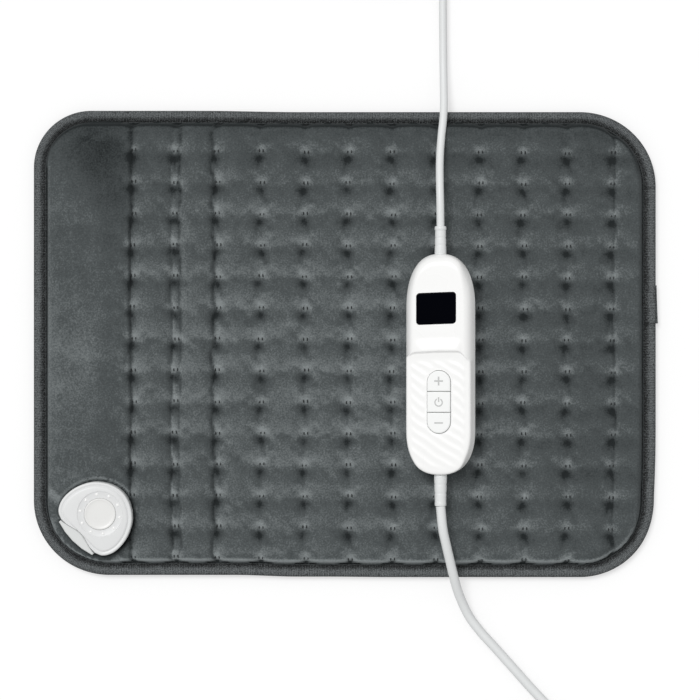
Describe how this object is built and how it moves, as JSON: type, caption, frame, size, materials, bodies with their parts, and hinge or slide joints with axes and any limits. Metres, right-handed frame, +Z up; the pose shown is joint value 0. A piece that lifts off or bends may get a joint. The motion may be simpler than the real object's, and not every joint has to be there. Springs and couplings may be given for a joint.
{
  "type": "heating pad with controller",
  "caption": "Quilted rectangular electric heating pad with bound edges, a corner socket with a release button, a long hand controller with display and keys, mains cord with plug, and pad lead.",
  "frame": {"origin": "on the table under the middle of the pad", "axes": "+X along the pad's long side, away from the corner socket; +Y across it, towards the mains plug; +Z up"},
  "size_m": [0.4013, 0.6534, 0.0387],
  "materials": {
    "plush": "short velvet pile",
    "fleece": "brushed fleece",
    "binding": "ribbed bias tape",
    "felt": "pressed felt",
    "wire_cover": "satin",
    "housing": "glossy",
    "key": "matte",
    "display_glass": "polished black",
    "dark_plastic": "matte",
    "board": "satin",
    "red_resin": "glossy",
    "steel": "brushed",
    "brass": "polished",
    "socket_plastic": "satin",
    "cord": "satin"
  },
  "bodies": {
    "body": {"top_quilt": "plush", "back_quilt": "fleece", "element_felt": "felt", "heating_wire": "wire_cover", "edge_binding": "binding", "binding_tail": "binding", "thermal_cutout": "dark_plastic", "controller_front_shell": "housing", "controller_rear_shell": "housing", "display_window": "display_glass", "display_module": "dark_plastic", "circuit_board": "board", "switch_plus": "dark_plastic", "switch_power": "dark_plastic", "switch_minus": "dark_plastic", "film_capacitor": "red_resin", "triac": "dark_plastic", "board_fuse": "steel", "mains_terminal": "board", "lead_terminal": "board", "shell_screw_1": "steel", "shell_screw_2": "steel", "shell_screw_3": "steel", "shell_screw_4": "steel", "mains_strain_relief": "cord", "lead_strain_relief": "cord", "socket_base": "socket_plastic", "socket_cover": "socket_plastic", "socket_mouth": "socket_plastic", "release_spring": "steel", "contact_carrier": "socket_plastic", "contact_blade_1": "brass", "contact_blade_2": "brass", "contact_blade_3": "brass", "backing_plate": "socket_plastic", "socket_screw_1": "steel", "socket_screw_2": "steel", "socket_screw_3": "steel", "mains_cord_run": "cord", "mains_cord_coil": "cord", "mains_cord_tie": "dark_plastic", "mains_plug": "cord", "plug_pin_1": "brass", "plug_pin_2": "brass", "plug_sleeve_1": "dark_plastic", "plug_sleeve_2": "dark_plastic", "lead_cord_run": "cord", "lead_cord_coil": "cord", "lead_cord_tie": "dark_plastic", "lead_plug_upper": "socket_plastic", "lead_plug_lower": "socket_plastic", "lead_plug_tongue": "socket_plastic", "lead_plug_boot": "cord"},
    "key_plus": {"key_plus": "key"},
    "key_power": {"key_power": "key"},
    "key_minus": {"key_minus": "key"},
    "release": {"release_button": "socket_plastic", "release_latch": "socket_plastic"}
  },
  "joints": [
    {"name": "key_plus_press", "type": "slide", "parent": "body", "child": "key_plus", "axis": [0.1736, 0, -0.9848], "range_m": [0, 0.0006], "stiffness_N_per_m": 200},
    {"name": "key_power_press", "type": "slide", "parent": "body", "child": "key_power", "axis": [0.1736, 0, -0.9848], "range_m": [0, 0.0006], "stiffness_N_per_m": 200},
    {"name": "key_minus_press", "type": "slide", "parent": "body", "child": "key_minus", "axis": [0.1736, 0, -0.9848], "range_m": [0, 0.0006], "stiffness_N_per_m": 200},
    {"name": "release_press", "type": "slide", "parent": "body", "child": "release", "axis": [0, 0, -1], "range_m": [0, 0.0012], "stiffness_N_per_m": 300, "deforming": ["release_spring"]}
  ]
}
